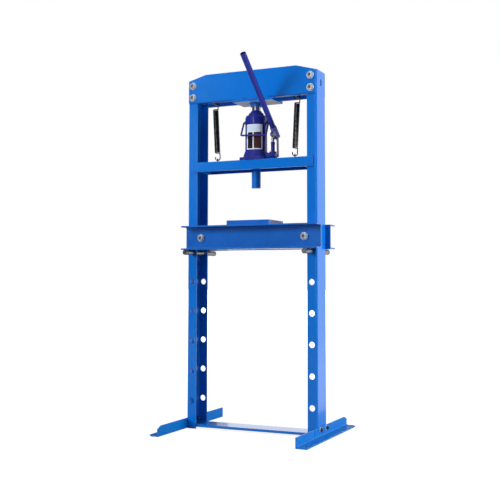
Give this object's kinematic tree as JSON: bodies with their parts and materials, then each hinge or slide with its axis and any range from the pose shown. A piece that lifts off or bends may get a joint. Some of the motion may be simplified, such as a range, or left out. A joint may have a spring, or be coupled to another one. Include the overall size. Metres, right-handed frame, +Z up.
{
  "type": "hydraulic press",
  "caption": "Floor-standing H-frame hydraulic press with a bottle jack, sprung press head, pinned work bed and angle feet.",
  "frame": {"origin": "on the floor, midway between the uprights and between the ends of the feet", "axes": "+Z up, +X to the right seen from the handle side, +Y to the back"},
  "size_m": [0.58, 0.475, 1.2927],
  "materials": {
    "frame_paint": "gloss blue paint",
    "jack_paint": "gloss dark blue paint",
    "zinc_plate": "zinc plated",
    "black_steel": "black oxide",
    "chrome": "ground and chromed",
    "bare_steel": "turned steel",
    "seal_rubber": "matt"
  },
  "bodies": {
    "frame": {"left_upright": "frame_paint", "right_upright": "frame_paint", "front_crossbeam": "frame_paint", "rear_crossbeam": "frame_paint", "jack_seat_plate": "frame_paint", "jack_seat_collar": "frame_paint", "crossbeam_bolts": "zinc_plate", "crossbeam_nuts": "zinc_plate", "crossbeam_washers": "zinc_plate", "left_foot": "frame_paint", "right_foot": "frame_paint", "base_brace": "frame_paint", "foot_bolts": "zinc_plate", "foot_nuts": "zinc_plate", "foot_washers": "zinc_plate", "left_spring_hanger": "black_steel", "right_spring_hanger": "black_steel", "left_return_spring": "black_steel", "right_return_spring": "black_steel", "jack_ram": "chrome", "piston_seal": "seal_rubber", "extension_screw": "bare_steel"},
    "press_head": {"head_beam": "frame_paint", "left_head_end_plate": "frame_paint", "right_head_end_plate": "frame_paint", "ram_pin": "bare_steel", "ram_pin_sleeve": "bare_steel", "left_spring_eye": "black_steel", "right_spring_eye": "black_steel", "jack_base": "jack_paint", "jack_tank": "jack_paint", "jack_cylinder": "bare_steel", "jack_cap_nut": "jack_paint", "pump_barrel": "jack_paint", "fulcrum_pin": "bare_steel", "bail_bosses": "jack_paint"},
    "pump_plunger": {"pump_plunger": "chrome"},
    "pump_links": {"pump_links": "jack_paint", "link_pin": "bare_steel"},
    "pump_lever": {"handle_socket": "jack_paint", "plunger_pin": "bare_steel", "handle_lower": "jack_paint", "handle_upper": "jack_paint"},
    "release_valve": {"release_valve": "jack_paint"},
    "bail": {"jack_bail": "jack_paint"},
    "bed": {"front_bed_channel": "frame_paint", "rear_bed_channel": "frame_paint", "bed_bolts": "zinc_plate", "bed_nuts": "zinc_plate", "bed_washers": "zinc_plate", "bed_spacers": "frame_paint", "press_plate": "frame_paint"},
    "left_bed_pin": {"left_bed_pin": "bare_steel"},
    "right_bed_pin": {"right_bed_pin": "bare_steel"}
  },
  "joints": [
    {"name": "head_slide", "type": "slide", "parent": "frame", "child": "press_head", "axis": [0, 0, -1], "range_m": [0, 0.105], "stiffness_N_per_m": 2200, "springref_m": -0.1, "deforming": ["left_return_spring", "right_return_spring"]},
    {"name": "plunger_slide", "type": "slide", "parent": "press_head", "child": "pump_plunger", "axis": [0, 0, -1], "range_m": [-0.0025, 0.0125]},
    {"name": "lever_hinge", "type": "hinge", "parent": "pump_plunger", "child": "pump_lever", "pos_m": [0.07024, -0.00593, 1.04], "axis": [0.9962, -0.0872, 0], "range_deg": [-7, 38]},
    {"name": "link_hinge", "type": "hinge", "parent": "press_head", "child": "pump_links", "pos_m": [0.0719, 0.013, 0.966], "axis": [0.9962, -0.0872, 0], "range_deg": [-4.5, 1]},
    {"name": "valve_turn", "type": "hinge", "parent": "press_head", "child": "release_valve", "pos_m": [0.08215, -0.01901, 0.964], "axis": [0.9962, -0.0872, 0], "range_deg": [0, 360]},
    {"name": "bail_swing", "type": "hinge", "parent": "press_head", "child": "bail", "pos_m": [0.0025, 0, 1.088], "axis": [-0.9744, -0.225, 0], "range_deg": [0, 30]},
    {"name": "bed_slide", "type": "slide", "parent": "frame", "child": "bed", "axis": [0, 0, 1], "range_m": [0, 0.008]},
    {"name": "left_pin_slide", "type": "slide", "parent": "frame", "child": "left_bed_pin", "axis": [0, -1, 0], "range_m": [0, 0.17]},
    {"name": "right_pin_slide", "type": "slide", "parent": "frame", "child": "right_bed_pin", "axis": [0, -1, 0], "range_m": [0, 0.17]}
  ],
  "couplings": [
    {"joint": "plunger_slide", "follows": "lever_hinge", "m_per_rad": 0.018256},
    {"joint": "link_hinge", "follows": "lever_hinge", "ratio": -0.10954}
  ]
}
